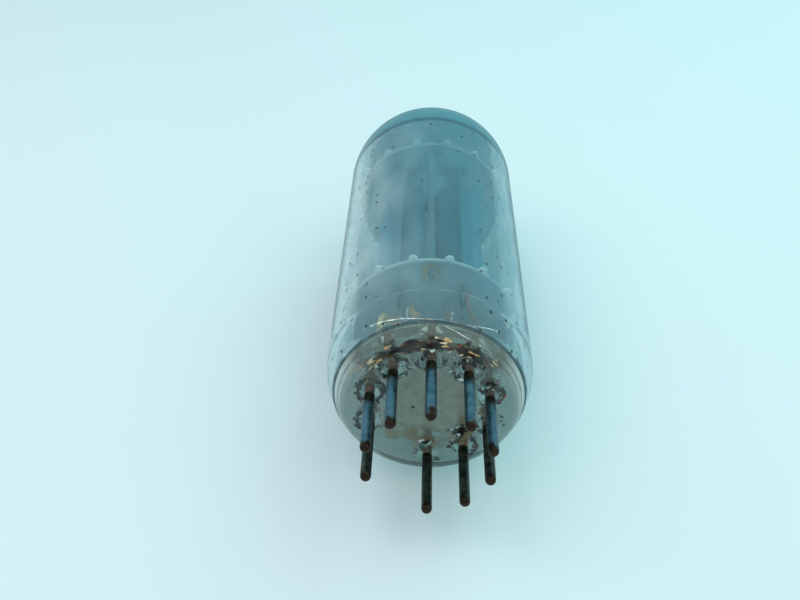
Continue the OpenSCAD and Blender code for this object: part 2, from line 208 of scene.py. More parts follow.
def dusty_lime_glass():
    """Blown soda-lime bulb glass, clear and glossy. Dust with painted light, a painted tint and painted
    shade at its edges, specks of dirt and painted shade in the groove lie over it in layers.
    """
    material, where = start_material("dusty_lime_glass")
    ripple = add(material, "TexNoise", {"Vector": where, "Scale": 1 / 5, "Detail": 1.0})
    bump = add(material, "Bump", {"Strength": 0.1, "Distance": 0.0004, "Height": ripple})
    surface = add(material, "BsdfPrincipled", {
        "Base Color": rgb("#DDF1F1"), "Transmission Weight": 1.0, "Roughness": 0.0, "IOR": 1.51,
        "Normal": bump})
    for lay in (lay_dust_and_side_light, paint_dome_rim_tint, paint_outline_shade, speckle, shade_groove):
        surface = lay(material, where, surface)
    add(material, "OutputMaterial", [let_lamps_through(material, surface, rgb("#DCEBEA"))])
    return material


def lay_dust_and_side_light(material, where, surface):
    """Dry dust in streaks along the tube: heavier at the sides and thin on the heel. Painted light colours
    it, pale on the lit left and darker blue on the right.
    """
    across = add(material, "SeparateXYZ", [where], out="X")
    height = add(material, "SeparateXYZ", [where], out="Y")
    # Painted light: the dust runs from pale white on the lit left to darker blue on the right.
    to_right = add(material, "MapRange", [across, -8.0, 3.0])
    tint = add(material, "Mix", {FACTOR: to_right, A: rgb("#E4EEEC"), B: rgb("#4E9FB2")}, **COLOUR_MIX)
    dust = add(material, "BsdfPrincipled", {
        "Base Color": tint, "Roughness": 0.8, "Specular IOR Level": 0.2})
    drawn_out = add(material, "VectorMath", [where, (1, 0.3, 1)], operation="MULTIPLY")
    streaks = patches(material, drawn_out, 2.6, 0.03, 0.2, 5.0)
    off_middle = add(material, "Math", [across], operation="ABSOLUTE")
    sideways = add(material, "MapRange", [off_middle, 1.0, 8.0, 0.8, 1.9])
    heavier = add(material, "Math", [streaks, sideways], operation="MULTIPLY")
    above_heel = add(material, "MapRange", [height, HEEL_TOP - 2, HEEL_TOP + 2, 0.4, 1.0])
    share = add(material, "Math", [heavier, above_heel], operation="MULTIPLY")
    return add(material, "MixShader", [share, surface, dust])


def paint_dome_rim_tint(material, where, surface):
    """A painted tint on the dome's upper side, blue-grey where the eye meets the glass edge on, with a
    painted dark line where it starts.
    """
    height = add(material, "SeparateXYZ", [where], out="Y")
    up = add(material, "SeparateXYZ", [where], out="Z")
    # Painted shade: a dark line where the rim starts, with the painted blue-grey tint above it.
    past_line = add(material, "MapRange", [height, DOME_START - 0.6, DOME_START - 0.2])
    tint = add(material, "Mix", {FACTOR: past_line, A: rgb("#2C5F6C"), B: rgb("#4A8B97")}, **COLOUR_MIX)
    rim_tint = add(material, "BsdfPrincipled", {"Base Color": tint, "Roughness": 0.4})
    domed = add(material, "MapRange", [height, DOME_START - 1.5, DOME_START - 1.2])
    upper = add(material, "MapRange", [up, 1.0, 7.0])
    in_place = add(material, "Math", [domed, upper], operation="MULTIPLY")
    edge_on = add(material, "LayerWeight", [0.5], out="Facing")
    dense = add(material, "MapRange", [edge_on, 0.48, 0.55, 0.0, 0.8])
    share = add(material, "Math", [dense, in_place], operation="MULTIPLY")
    return add(material, "MixShader", [share, surface, rim_tint])


def paint_outline_shade(material, where, surface):
    """Painted shade: glass above the heel is darker where the eye meets it edge on."""
    height = add(material, "SeparateXYZ", [where], out="Y")
    shade = add(material, "BsdfPrincipled", {"Base Color": rgb("#3D5F66"), "Roughness": 0.6})
    edge_on = add(material, "LayerWeight", [0.5], out="Facing")
    outline = add(material, "MapRange", [edge_on, 0.82, 0.9, 0.0, 0.5])
    above_heel = add(material, "MapRange", [height, HEEL_TOP, HEEL_TOP + 3])
    share = add(material, "Math", [outline, above_heel], operation="MULTIPLY")
    return add(material, "MixShader", [share, surface, shade])


def speckle(material, where, surface):
    """Small dark specks of dirt, up to a third of a millimetre across."""
    dirt = add(material, "BsdfPrincipled", {"Base Color": rgb("#1D2C2E"), "Roughness": 0.8})
    return add(material, "MixShader", [specks(material, where, 2.0, 0.18), surface, dirt])


def shade_groove(material, where, surface):
    """Painted shade in the groove of the seal, in uneven patches."""
    height = add(material, "SeparateXYZ", [where], out="Y")
    groove_shade = add(material, "BsdfPrincipled", {"Base Color": rgb("#3A4A4C"), "Roughness": 0.7})
    in_groove = band(material, height, SEAL_Z - 0.1, SEAL_Z + GROOVE_W / 2, 0.03)
    uneven = patches(material, where, 1.2, 0.5, 0.95)
    share = add(material, "Math", [in_groove, uneven], operation="MULTIPLY")
    return add(material, "MixShader", [share, surface, groove_shade])


# Glass of the bulb, inside

def fogged_inner_glass():
    """The bulb's inner face: clear glass with fog on it, and the getter's metal film in the dome."""
    material, where = start_material("fogged_inner_glass")
    surface = add(material, "BsdfPrincipled", {
        "Base Color": rgb("#EEF8F7"), "Transmission Weight": 1.0, "Roughness": 0.0, "IOR": 1.51})
    for lay in (lay_fog, line_fog_end, coat_dome):
        surface = lay(material, where, surface)
    add(material, "OutputMaterial", [let_lamps_through(material, surface, rgb("#F0F6F6"))])
    return material


def lay_fog(material, where, surface):
    """Fog in clouds, thicker on top and towards the dome. It ends near the heel, with haze below."""
    height = add(material, "SeparateXYZ", [where], out="Y")
    up = add(material, "SeparateXYZ", [where], out="Z")
    above_heel = add(material, "MapRange", [height, 6.0, 16.0])
    tint = add(material, "Mix", {FACTOR: above_heel, A: rgb("#92A8B0"), B: rgb("#4C8F9F")}, **COLOUR_MIX)
    fog = add(material, "BsdfPrincipled", {"Base Color": tint, "Roughness": 0.8, "Specular IOR Level": 0.1})
    drawn_out = add(material, "VectorMath", [where, (1, 0.4, 1)], operation="MULTIPLY")
    clouds = patches(material, drawn_out, 3.0, 0.04, 0.22, 6.0)
    towards_dome = add(material, "MapRange", [height, 17.0, 28.0, 0.0, 0.44])
    grown = add(material, "Math", [clouds, towards_dome], operation="ADD")
    on_top = add(material, "MapRange", [up, 4.5, 9.0, 0.25, 1.0])
    settled = add(material, "Math", [grown, on_top], operation="MULTIPLY")
    rising = add(material, "MapRange", [height, FOG_Z, FOG_Z + 1.2, 0.3, 1.0])
    thinned = add(material, "Math", [settled, rising], operation="MULTIPLY")
    begun = add(material, "Math", [height, FOG_Z], operation="GREATER_THAN")
    stopped = add(material, "Math", [thinned, begun], operation="MULTIPLY")
    least_haze = 0.28
    share = add(material, "Math", [stopped, least_haze], operation="MAXIMUM")
    return add(material, "MixShader", [share, surface, fog])


def line_fog_end(material, where, surface):
    """A thin broken pale line where the fog ends."""
    height = add(material, "SeparateXYZ", [where], out="Y")
    pale = add(material, "BsdfPrincipled", {"Base Color": rgb("#B9CDD2"), "Roughness": 0.4})
    line = band(material, height, FOG_Z - 0.06, FOG_Z + 0.06, 0.04)
    gaps = patches(material, where, 1.5, 0.0, 0.5)
    share = add(material, "Math", [line, gaps], operation="MULTIPLY")
    return add(material, "MixShader", [share, surface, pale])


def coat_dome(material, where, surface):
    """The getter's film: blue-grey metal dust in the dome, with a wavy border and a thin lower side. Seen
    edge on it is thinner, and lighter by a painted sheen.
    """
    height = add(material, "SeparateXYZ", [where], out="Y")
    up = add(material, "SeparateXYZ", [where], out="Z")
    edge_on = add(material, "LayerWeight", [0.5], out="Facing")
    outline = add(material, "MapRange", [edge_on, 0.6, 0.85])
    # Painted sheen: the film is lighter where the eye meets it edge on.
    tint = add(material, "Mix", {FACTOR: outline, A: rgb("#387D8D"), B: rgb("#4B8D9B")}, **COLOUR_MIX)
    film = add(material, "BsdfPrincipled", {
        "Base Color": tint, "Roughness": 0.5, "Specular IOR Level": 0.2})
    waves = patches(material, where, 6.0, 0.0, 2.5, 2.0)
    border = add(material, "Math", [height, waves], operation="SUBTRACT")
    grown = add(material, "MapRange", [border, DOME_START - 4.5, DOME_START + 1.5, 0.0, 0.86])
    upper = add(material, "MapRange", [up, -5.0, 3.0, 0.45, 1.0])
    leaning = add(material, "Math", [grown, upper], operation="MULTIPLY")
    thinned = add(material, "MapRange", [edge_on, 0.4, 0.85, 1.0, 0.6])
    share = add(material, "Math", [leaning, thinned], operation="MULTIPLY")
    return add(material, "MixShader", [share, surface, film])


# Glass of the stem

def pressed_stem_glass():
    """The pressed button of the base: thick clear glass. Milkiness, stains, a pit, crazed glass with
    painted glints round the pins, painted reflections under the upper rim and painted highlight rings on
    the edge lie over it in layers."""
    material, where = start_material("pressed_stem_glass")
    surface = add(material, "BsdfPrincipled", {
        "Base Color": rgb("#D8EAE6"), "Transmission Weight": 1.0, "Roughness": 0.02, "IOR": 1.51})
    for lay in (cloud_disc, stain_below_disc, pit_flat, craze_and_glint_round_pins, paint_rim_reflections, paint_highlight_rings):
        surface = lay(material, where, surface)
    add(material, "OutputMaterial", [let_lamps_through(material, surface, rgb("#D8E4E0"))])
    return material


def disc_distance(material, where):
    """Distance from the middle of the milky disc, made uneven."""
    straight = add(material, "VectorMath", [where, (0, FLAT_Z, 0.85)], out="Value", operation="DISTANCE")
    wobble = patches(material, where, 1.6, -0.5, 0.5)
    return add(material, "Math", [straight, wobble], operation="ADD")


def cloud_disc(material, where, surface):
    """Grey-green milkiness: dense in a disc in the middle, thin outside it, and thinnest on the beads."""
    mottle = patches(material, where, 0.9, 0.0, 1.0, 5.0)
    tint = add(material, "Mix", {FACTOR: mottle, A: rgb("#747B6D"), B: rgb("#888C7B")}, **COLOUR_MIX)
    milk = add(material, "BsdfPrincipled", {"Base Color": tint, "Roughness": 0.6, "Coat Weight": 0.6})
    in_disc = add(material, "MapRange", [disc_distance(material, where), 3.8, 4.3, 0.88, 0.42])
    on_bead = add(material, "Attribute", out="Fac", attribute_name="on_bead")
    off_bead = add(material, "MapRange", [on_bead, 0.0, 1.0, 1.0, 0.3])
    share = add(material, "Math", [in_disc, off_bead], operation="MULTIPLY")
    return add(material, "MixShader", [share, surface, milk])


def stain_below_disc(material, where, surface):
    """Brown stains in a patchy ring round the disc's lower side."""
    up = add(material, "SeparateXYZ", [where], out="Z")
    stain = add(material, "BsdfPrincipled", {
        "Base Color": rgb("#6E5F36"), "Roughness": 0.5, "Coat Weight": 0.5})
    low = add(material, "MapRange", [up, 0.5, -2.0])
    ring = band(material, disc_distance(material, where), 4.0, 6.0, 0.4)
    low_ring = add(material, "Math", [low, ring], operation="MULTIPLY")
    uneven = patches(material, where, 1.1, 0.0, 0.95)
    share = add(material, "Math", [low_ring, uneven], operation="MULTIPLY")
    return add(material, "MixShader", [share, surface, stain])


def pit_flat(material, where, surface):
    """One small dark pit in the disc."""
    pit = add(material, "BsdfPrincipled", {"Base Color": rgb("#1F2620"), "Roughness": 0.5})
    away = add(material, "VectorMath", [where, (-1.54, FLAT_Z, 0.02)], out="Value", operation="DISTANCE")
    share = add(material, "MapRange", [away, 0.12, 0.24, 1.0, 0.0])
    return add(material, "MixShader", [share, surface, pit])


def craze_and_glint_round_pins(material, where, surface):
    """Crazed glass round the pins, and in one spot at the lower right of the flat: flakes about 0.4 mm
    wide.
    Their colours are painted reflections and refractions: dark, grey, green, copper and white glints."""
    near_pin = add(material, "Attribute", out="Fac", attribute_name="near_pin")
    away = add(material, "VectorMath", [where, (2.85, FLAT_Z, -2.95)], out="Value", operation="DISTANCE")
    in_spot = add(material, "MapRange", [away, 0.5, 1.1, 1.0, 0.0])
    crazed = add(material, "Math", [near_pin, in_spot], operation="MAXIMUM")
    bent = add(material, "TexNoise", {"Vector": where, "Scale": 1 / 0.8, "Detail": 2.0}, out="Color")
    pushed = add(material, "VectorMath", [bent, (0.9, 0.9, 0.9), where], operation="MULTIPLY_ADD")
    flake = add(material, "TexVoronoi", {"Vector": pushed, "Scale": 1 / 0.38}, out="Color")
    shades = add(material, "ValToRGB", [add(material, "SeparateColor", [flake], out="Red")])
    # Painted reflections and refractions: dark, grey, green, copper and white glints on the flakes.
    paint_flat(shades, (
        (0.0, "#0B1113"), (0.34, "#1C2925"), (0.52, "#2E3C34"), (0.66, "#5E7067"), (0.72, "#245F57"),
        (0.75, "#6B3625"), (0.79, "#15110D"), (0.92, "#93A69F"), (0.97, "#D6E2DD")))
    chips_and_glints = add(material, "BsdfPrincipled", {"Base Color": shades, "Roughness": 0.25, "Coat Weight": 0.3})
    kept = add(material, "SeparateColor", [flake], out="Green")
    share = add(material, "Math", [kept, crazed], operation="LESS_THAN")
    return add(material, "MixShader", [share, surface, chips_and_glints])


def paint_rim_reflections(material, where, surface):
    """A painted band of reflections under the upper rim, in dark brown flakes drawn out along it, some of
    them painted gold glints: they stand in for the leads and the dark inside seen through the rim.
    """
    across = add(material, "SeparateXYZ", [where], out="X")
    up = add(material, "SeparateXYZ", [where], out="Z")
    radius = radius_of(material, where)
    turn = add(material, "Math", [across, up], operation="ARCTAN2")
    flake_length = 0.7
    flake_width = 0.22
    along_rim = add(material, "Math", [turn, FLAT_R / flake_length], operation="MULTIPLY")
    over_rim = add(material, "Math", [radius, flake_width], operation="DIVIDE")
    on_rim = add(material, "CombineXYZ", [along_rim, over_rim, 0.0])
    flake = add(material, "TexVoronoi", {"Vector": on_rim, "Scale": 1.0}, out="Color")
    shades = add(material, "ValToRGB", [add(material, "SeparateColor", [flake], out="Red")])
    # Painted reflections: dark brown and black flakes, with gold and copper glints.
    paint_flat(shades, (
        (0.0, "#120C07"), (0.4, "#3A2412"), (0.56, "#1C241C"), (0.64, "#4A3219"), (0.8, "#E9B878"),
        (0.86, "#FFE7BC"), (0.91, "#9A4F33"), (0.96, "#5B5A45")))
    rim_reflections = add(material, "BsdfPrincipled", {"Base Color": shades, "Roughness": 0.3, "Coat Weight": 0.2})
    waves = patches(material, where, 1.0, -0.35, 0.35)
    wavy = add(material, "Math", [radius, waves], operation="ADD")
    under_rim = band(material, wavy, 7.2, 8.25, 0.12)
    right_end = add(material, "MapRange", [turn, 0.55, 1.0, 1.0, 0.0])
    left_end = add(material, "MapRange", [turn, -1.0, -0.6])
    on_top = add(material, "Math", [right_end, left_end], operation="MULTIPLY")
    share = add(material, "Math", [under_rim, on_top], operation="MULTIPLY")
    return add(material, "MixShader", [share, surface, rim_reflections])


def paint_highlight_rings(material, where, surface):
    """Painted highlights: fine pale rings on the flat's rounded edge, at the two sides."""
    up = add(material, "SeparateXYZ", [where], out="Z")
    radius = radius_of(material, where)
    # Painted highlight colour of the pale rings.
    pale = add(material, "BsdfPrincipled", {
        "Base Color": rgb("#C9D6D2"), "Roughness": 0.6, "Coat Weight": 0.5})
    ring_width = 0.21
    swing = add(material, "Math", [radius, ring_width], operation="PINGPONG")
    rings = add(material, "MapRange", [swing, 0.02, 0.09, 0.25, 1.0])
    on_edge = add(material, "MapRange", [radius, 8.0, 8.9])
    ringed = add(material, "Math", [on_edge, rings], operation="MULTIPLY")
    not_low = add(material, "MapRange", [up, -2.5, 0.5])
    not_high = add(material, "MapRange", [up, 3.5, 6.0, 0.7, 0.0])
    at_sides = add(material, "Math", [not_low, not_high], operation="MULTIPLY")
    share = add(material, "Math", [ringed, at_sides], operation="MULTIPLY")
    return add(material, "MixShader", [share, surface, pale])


# Metal, mica and oxide

def oxidised_hard_wire():
    """Pins: hard nickel-iron wire. It is brown, and copper red where glass covers it. A painted blue sky
    reflection runs along the middle of the higher pins, and painted shade darkens it where it turns from
    the eye."""
    material, where = start_material("oxidised_hard_wire")
    height = add(material, "SeparateXYZ", [where], out="Y")
    up = add(material, "SeparateXYZ", [where], out="Z")
    tarnish = patches(material, where, 0.9, 0.0, 1.0, 5.0)
    # Painted reflection of the blue sky on the higher pins.
    sky_reflection = add(material, "Mix", {FACTOR: tarnish, A: rgb("#50798A"), B: rgb("#7197A6")}, **COLOUR_MIX)
    brown = add(material, "Mix", {FACTOR: tarnish, A: rgb("#2B2D26"), B: rgb("#55503A")}, **COLOUR_MIX)
    waves = patches(material, where, 0.7, -0.5, 0.5)
    wavy = add(material, "Math", [height, waves], operation="ADD")
    middle = band(material, wavy, -6.3, -1.3, 0.5)
    upper = add(material, "MapRange", [up, -1.0, 0.5, 0.15, 1.0])
    sky_reflection_share = add(material, "Math", [middle, upper], operation="MULTIPLY")
    brown_and_sky_reflection = add(material, "Mix", {FACTOR: sky_reflection_share, A: brown, B: sky_reflection}, **COLOUR_MIX)
    at_tip = add(material, "MapRange", [wavy, -6.4, -6.9])
    tipped = add(material, "Mix", {FACTOR: at_tip, A: brown_and_sky_reflection, B: rgb("#3B2C25")}, **COLOUR_MIX)
    # Painted shade where the pin turns from the eye.
    edge_on = add(material, "LayerWeight", [0.5], out="Facing")
    turned = add(material, "MapRange", [edge_on, 0.35, 0.85, 0.0, 0.75])
    edged = add(material, "Mix", {FACTOR: turned, A: tipped, B: rgb("#1D211E")}, **COLOUR_MIX)
    burnt = patches(material, where, 0.5, 0.0, 1.0)
    copper = add(material, "Mix", {FACTOR: burnt, A: rgb("#36201A"), B: rgb("#A64C2E")}, **COLOUR_MIX)
    in_glass = add(material, "MapRange", [height, -0.05, 0.05])
    sealed = add(material, "Mix", {FACTOR: in_glass, A: edged, B: copper}, **COLOUR_MIX)
    rough = add(material, "MapRange", [tarnish, 0.0, 1.0, 0.25, 0.45])
    grit = add(material, "TexNoise", {"Vector": where, "Scale": 1 / 0.25, "Detail": 4.0})
    grain = add(material, "Bump", {"Strength": 0.3, "Distance": 0.00004, "Height": grit})
    metal = add(material, "BsdfPrincipled", {
        "Base Color": sealed, "Metallic": 1.0, "Roughness": rough, "Normal": grain})
    add(material, "OutputMaterial", [metal])
    return material


def copper_clad_wire():
    """Copper-clad lead wire, drawn smooth: straw gold on the left, and dull pink copper
    towards the right."""
    material, where = start_material("copper_clad_wire")
    across = add(material, "SeparateXYZ", [where], out="X")
    shade = patches(material, where, 1.2)
    gold = add(material, "Mix", {FACTOR: shade, A: rgb("#FFDFA4"), B: rgb("#F0A065")}, **COLOUR_MIX)
    to_right = add(material, "MapRange", [across, -2.0, 2.0])
    gold_to_dull_pink = add(material, "Mix", {FACTOR: to_right, A: gold, B: rgb("#A87C72")}, **COLOUR_MIX)
    metal = add(material, "BsdfPrincipled", {"Base Color": gold_to_dull_pink, "Metallic": 0.5, "Roughness": 0.25})
    add(material, "OutputMaterial", [metal])
    return material


def carbonised_nickel(name, dark, light):
    """Sheet and wire of nickel with a baked-on coat of carbon: blue-grey and quite dull, and paler towards
    the dome. Painted shade darkens it on the anodes' flanges and below the lower mica."""
    material, where = start_material(name)
    height = add(material, "SeparateXYZ", [where], out="Y")
    up = add(material, "SeparateXYZ", [where], out="Z")
    mottle = patches(material, where, 1.4, 0.0, 1.0, 5.0)
    coat = add(material, "Mix", {FACTOR: mottle, A: rgb(dark), B: rgb(light)}, **COLOUR_MIX)
    towards_dome = add(material, "MapRange", [height, 22.0, 33.0, 0.0, 0.8])
    paler_to_dome = add(material, "Mix", {FACTOR: towards_dome, A: coat, B: rgb("#587E92")}, **COLOUR_MIX)
    # Painted shade: darker on the anodes' flanges and on the legs below the lower mica.
    off_middle = add(material, "Math", [up], operation="ABSOLUTE")
    on_flange = add(material, "MapRange", [off_middle, FLANGE_START, FLANGE_START + 0.6, 0.0, 0.4])
    past_flange = add(material, "MapRange", [off_middle, FLANGE_END + 0.2, FLANGE_END + 0.3, 1.0, 0.0])
    flange = add(material, "Math", [on_flange, past_flange], operation="MULTIPLY")
    leg = add(material, "MapRange", [height, MICA_Z, MICA_Z - 1, 0.0, 0.75])
    painted_shade_share = add(material, "Math", [flange, leg], operation="MAXIMUM")
    shaded_coat = add(material, "Mix", {FACTOR: painted_shade_share, A: paler_to_dome, B: rgb("#2C434C")}, **COLOUR_MIX)
    sheet = add(material, "BsdfPrincipled", {
        "Base Color": shaded_coat, "Roughness": 0.6, "Specular IOR Level": 0.2})
    add(material, "OutputMaterial", [sheet])
    return material


def punched_mica(name, dark, light, least, most):
    """Punched muscovite sheet: see-through by a share from least to most. Its edge is ragged and pale,
    partly a painted highlight where the edge catches light.
    """
    material, where = start_material(name)
    flaws = patches(material, where, 2.2, 0.0, 1.0, 4.0)
    face = add(material, "Mix", {FACTOR: flaws, A: rgb(dark), B: rgb(light)}, **COLOUR_MIX)
    frayed_lit_edge = add(material, "MapRange", [radius_of(material, where), MICA_R - 0.3, MICA_R + 0.15])
    # Pale at the ragged edge, partly a painted highlight.
    tint = add(material, "Mix", {FACTOR: frayed_lit_edge, A: face, B: rgb("#F4F8FA")}, **COLOUR_MIX)
    sheet = add(material, "BsdfPrincipled", {"Base Color": tint, "Roughness": 0.35})
    clear = add(material, "BsdfTransparent", [rgb("#E8EEEC")])
    see_through = add(material, "MapRange", [flaws, 0.0, 1.0, most, least])
    uncut = add(material, "MapRange", [frayed_lit_edge, 0.0, 1.0, 1.0, 0.05])
    share = add(material, "Math", [see_through, uncut], operation="MULTIPLY")
    add(material, "OutputMaterial", [add(material, "MixShader", [share, sheet, clear])])
    return material


def dull_nickel():
    """Nickel strip and wire after firing: soft grey with a satin face."""
    material, where = start_material("dull_nickel")
    shade = patches(material, where, 1.0)
    tint = add(material, "Mix", {FACTOR: shade, A: rgb("#8C8A84"), B: rgb("#A6A49C")}, **COLOUR_MIX)
    metal = add(material, "BsdfPrincipled", {"Base Color": tint, "Metallic": 1.0, "Roughness": 0.35})
    add(material, "OutputMaterial", [metal])
    return material


def rivet_brass():
    """Small drawn brass eyelets, yellow and bright."""
    material, where = start_material("rivet_brass")
    shade = patches(material, where, 0.6, 0.0, 1.0, 2.0)
    tint = add(material, "Mix", {FACTOR: shade, A: rgb("#FFD286"), B: rgb("#F2AE58")}, **COLOUR_MIX)
    metal = add(material, "BsdfPrincipled", {"Base Color": tint, "Metallic": 1.0, "Roughness": 0.3})
    add(material, "OutputMaterial", [metal])
    return material


def sprayed_oxide():
    """Cathode and heater coatings: sprayed white oxide, chalky and fully matt."""
    material, where = start_material("sprayed_oxide")
    grit = add(material, "TexNoise", {"Vector": where, "Scale": 1 / 0.15, "Detail": 3.0})
    bump = add(material, "Bump", {"Strength": 0.5, "Distance": 0.00003, "Height": grit})
    tint = add(material, "Mix", {FACTOR: grit, A: rgb("#CFCDC4"), B: rgb("#E6E4DC")}, **COLOUR_MIX)
    chalk = add(material, "BsdfPrincipled", {
        "Base Color": tint, "Roughness": 0.95, "Specular IOR Level": 0.1, "Normal": bump})
    add(material, "OutputMaterial", [chalk])
    return material


# Modelling helpers

def select_only(piece):
    bpy.ops.object.select_all(action="DESELECT")
    piece.select_set(True)
    bpy.context.view_layer.objects.active = piece


def edit_marked_vertices(piece):
    """Goes into edit mode with just the vertices that are marked as selected."""
    for part in (*piece.data.edges, *piece.data.polygons):
        part.select = False
    select_only(piece)
    bpy.ops.object.mode_set(mode="EDIT")
    bpy.ops.mesh.select_mode(type="VERT")


def arc_point(centre, radius, turn):
    """A point of an arc in the tube's half section, as radius and height. The turn is in degrees."""
    angle = math.radians(turn)
    return centre[0] + radius * math.cos(angle), centre[1] + radius * math.sin(angle)


def arc_points(centre, radius, start, end, count):
    return [arc_point(centre, radius, start + (end - start) * k / count) for k in range(count + 1)]


def line_points(start, end, count):
    return [tuple(a + (b - a) * k / count for a, b in zip(start, end)) for k in range(count + 1)]


def turned_shell(name, section):
    """Extrudes one vertex along the half section, then spins it round the tube's axis."""
    bpy.ops.object.select_all(action="DESELECT")
    bpy.ops.mesh.primitive_plane_add(size=MM)
    shell = bpy.context.active_object
    shell.name = name
    bpy.ops.object.mode_set(mode="EDIT")
    bpy.ops.mesh.select_all(action="SELECT")
    bpy.ops.mesh.merge(type="CENTER")
    here = place(*section[0])
    bpy.ops.transform.translate(value=here)
    for radius, height in section[1:]:
        there = place(radius, height)
        bpy.ops.mesh.extrude_region_move(TRANSFORM_OT_translate={"value": there - here})
        here = there
    bpy.ops.mesh.select_all(action="SELECT")
    bpy.ops.mesh.spin(steps=AROUND, angle=2 * math.pi, center=(0, 0, AXIS_Z * MM), axis=(0, 1, 0))
    bpy.ops.mesh.select_all(action="SELECT")
    bpy.ops.mesh.remove_doubles(threshold=1e-6)
    bpy.ops.mesh.normals_make_consistent(inside=False)
    bpy.ops.object.mode_set(mode="OBJECT")
    return shell


# The glass

def heel_arc():
    """Centre and radius of the heel's arc, which is tangent to the bulb and ends at the flat's corner."""
    out = BULB_R - FLAT_R
    rise = HEEL_TOP - FLAT_Z
    radius = (out * out + rise * rise) / (2 * out)
    return (BULB_R - radius, HEEL_TOP), radius


def grooved_heel(centre, radius, start):
    """The heel's arc from its lower end up to the wall, with the rounded groove of the seal in it."""
    groove_turn = math.degrees(math.asin((SEAL_Z - HEEL_TOP) / radius))
    half = math.degrees(GROOVE_W / 2 / radius)
    below = [start + (groove_turn - half - start) * k / 8 for k in range(8)]
    across = [groove_turn + half * (k / 6 - 1) for k in range(13)]
    above = [(groove_turn + half) * (1 - k / 24) for k in range(1, 25)]
    found = []
    for turn in below + across + above:
        off = min(1, abs(turn - groove_turn) / half)
        depth = GROOVE_D / 2 * (1 + math.cos(math.pi * off))
        found.append(arc_point(centre, radius - depth, turn))
    return found


def outer_section():
    """Half section of the glass's outside, from the middle of the flat to the exhaust tip."""
    centre, radius = heel_arc()
    edge_z = FLAT_Z + FLAT_EDGE
    edge_x = centre[0] + math.sqrt((radius - FLAT_EDGE) ** 2 - (HEEL_TOP - edge_z) ** 2)
    meet = math.degrees(math.atan2(edge_z - HEEL_TOP, edge_x - centre[0]))
    flat = line_points((0, FLAT_Z), (edge_x, FLAT_Z), 60)
    edge = arc_points((edge_x, edge_z), FLAT_EDGE, -90, meet, 10)
    heel = grooved_heel(centre, radius, meet)
    wall = line_points((BULB_R, HEEL_TOP), (BULB_R, DOME_START), 24)
    neck_x = TIP_R + TIP_FILLET
    neck_z = DOME_START + math.sqrt((BULB_R + TIP_FILLET) ** 2 - neck_x ** 2)
    lean = math.degrees(math.atan2(neck_z - DOME_START, neck_x))
    dome = arc_points((0, DOME_START), BULB_R, 0, lean, 36)
    root = arc_points((neck_x, neck_z), TIP_FILLET, 180 + lean, 180, 8)
    tip = arc_points((0, TIP_TOP - TIP_NOSE), TIP_NOSE, 10, 90, 8)
    return flat + edge[1:] + heel[1:] + wall[1:] + dome[1:] + root[1:] + tip


def inner_section():
    """Half section of the cavity, from the middle of the stem's top to the end of the funnel."""
    centre, radius = heel_arc()
    inner = radius - WALL
    corner_z = STEM_TOP + STEM_CORNER
    corner_turn = math.degrees(math.asin((corner_z - HEEL_TOP) / inner))
    corner_x = arc_point(centre, inner, corner_turn)[0] - STEM_CORNER
    stem = line_points((0, STEM_TOP), (corner_x, STEM_TOP), 56)
    corner = arc_points((corner_x, corner_z), STEM_CORNER, -90, 0, 5)
    heel = arc_points(centre, inner, corner_turn, 0, 20)
    wall = line_points((BULB_R - WALL, HEEL_TOP), (BULB_R - WALL, DOME_START), 20)
    funnel_turn = math.degrees(math.acos(FUNNEL_R / (BULB_R - WALL)))
    dome = arc_points((0, DOME_START), BULB_R - WALL, 0, funnel_turn, 32)
    funnel = line_points(dome[-1], (FUNNEL_END_R, TIP_TOP - FUNNEL_END), 4)
    point = (0, TIP_TOP - FUNNEL_END + 0.1)
    return stem + corner[1:] + heel[1:] + wall[1:] + dome[1:] + funnel[1:] + [point]


def pin_distances(shell, height):
    """How far each vertex at the given height lies from the nearest pin's centre, in millimetres."""
    pins = [Vector(pin_centre(number)) for number in TUBE_PINS]
    found = {}
    for vertex in shell.data.vertices:
        spot = vertex.co / MM
        if abs(spot.y - SEAT_Y - height) < 0.01:
            flat = Vector((spot.x, spot.z - AXIS_Z))
            found[vertex.index] = min((flat - pin).length for pin in pins)
    return found


def raise_beads(shell, from_pin, rise, wire_r):
    """Draws the glass out along each pin, in a smooth bead that is steepest at the wire."""
    steps = 12
    for k in range(steps):
        ring = BEAD_R + (wire_r - BEAD_R) * k / steps
        for vertex in shell.data.vertices:
            vertex.select = from_pin.get(vertex.index, BEAD_R) < ring
        climb = rise * (((k + 1) / steps) ** 2 - (k / steps) ** 2)
        edit_marked_vertices(shell)
        bpy.ops.transform.translate(value=(0, climb * MM, 0))
        bpy.ops.object.mode_set(mode="OBJECT")


